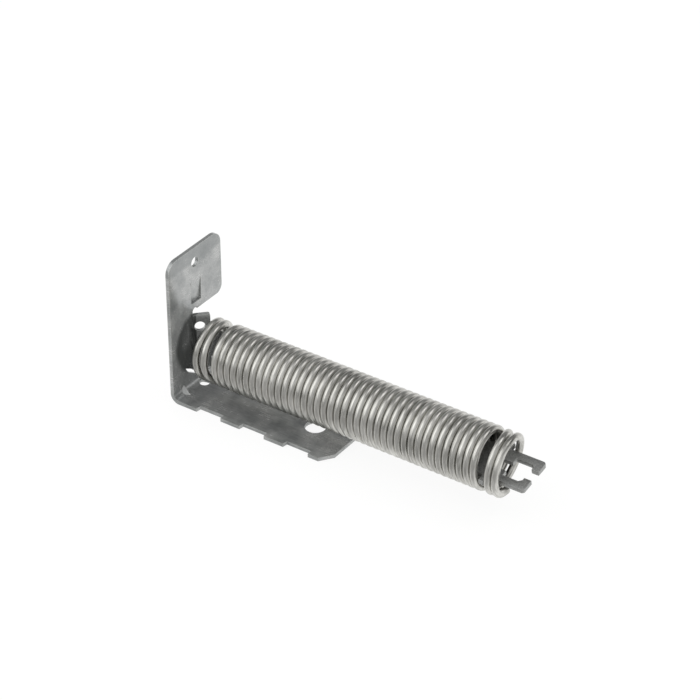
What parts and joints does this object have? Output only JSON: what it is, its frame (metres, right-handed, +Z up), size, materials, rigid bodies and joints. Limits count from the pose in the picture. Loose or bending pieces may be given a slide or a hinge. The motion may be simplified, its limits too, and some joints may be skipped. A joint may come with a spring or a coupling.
{
  "type": "dishwasher door spring",
  "caption": "Close-wound tension spring between a pressed angle bracket with a folded tongue and a forked hook plate, for a dishwasher door.",
  "frame": {"origin": "centre of the hole in the bracket's base, on the underside of the base", "axes": "+X along the spring from the bracket to the hook plate, +Z up from the base along the end plate, +Y across the bracket"},
  "size_m": [0.1552, 0.0324, 0.0622],
  "materials": {
    "bracket_steel": "satin galvanised sheet steel",
    "spring_wire": "bright drawn spring wire",
    "hook_steel": "dull plated steel"
  },
  "bodies": {
    "anchor": {"bracket": "bracket_steel", "coil_spring": "spring_wire"},
    "hook": {"hook_plate": "hook_steel"}
  },
  "joints": [
    {"name": "spring_stretch", "type": "slide", "parent": "anchor", "child": "hook", "axis": [1, 0, 0], "range_m": [0, 0.08], "stiffness_N_per_m": 1850, "deforming": ["coil_spring"]}
  ]
}
